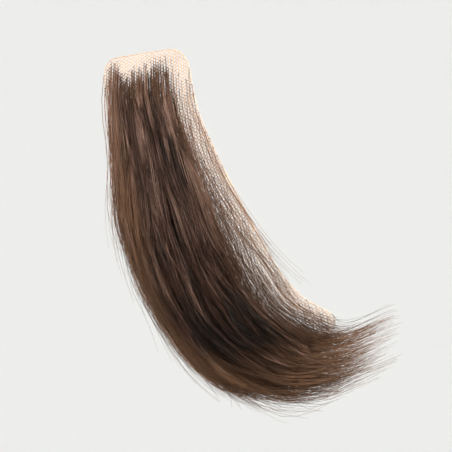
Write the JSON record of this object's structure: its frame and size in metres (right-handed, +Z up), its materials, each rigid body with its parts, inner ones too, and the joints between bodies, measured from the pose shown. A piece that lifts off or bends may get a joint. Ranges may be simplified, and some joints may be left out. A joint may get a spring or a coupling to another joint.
{
  "type": "fake sideburn",
  "caption": "Curved false sideburn of dark brown hair locks knotted to a thin lace base, worn glued to the right cheek from the temple and swept forward along the jaw.",
  "frame": {"origin": "on the back face of the lace base, where its middle sits on the wearer's cheek", "axes": "+X towards the front of the face, +Y into the cheek, +Z up towards the temple"},
  "size_m": [0.0752, 0.0217, 0.0886],
  "materials": {
    "lace": "fine flesh-toned hand-knotting net, matt",
    "hair": "dark brown straight human hair, soft sheen along the strands"
  },
  "bodies": {
    "root": {"lace_base": "lace", "hair": "hair"}
  },
  "joints": []
}
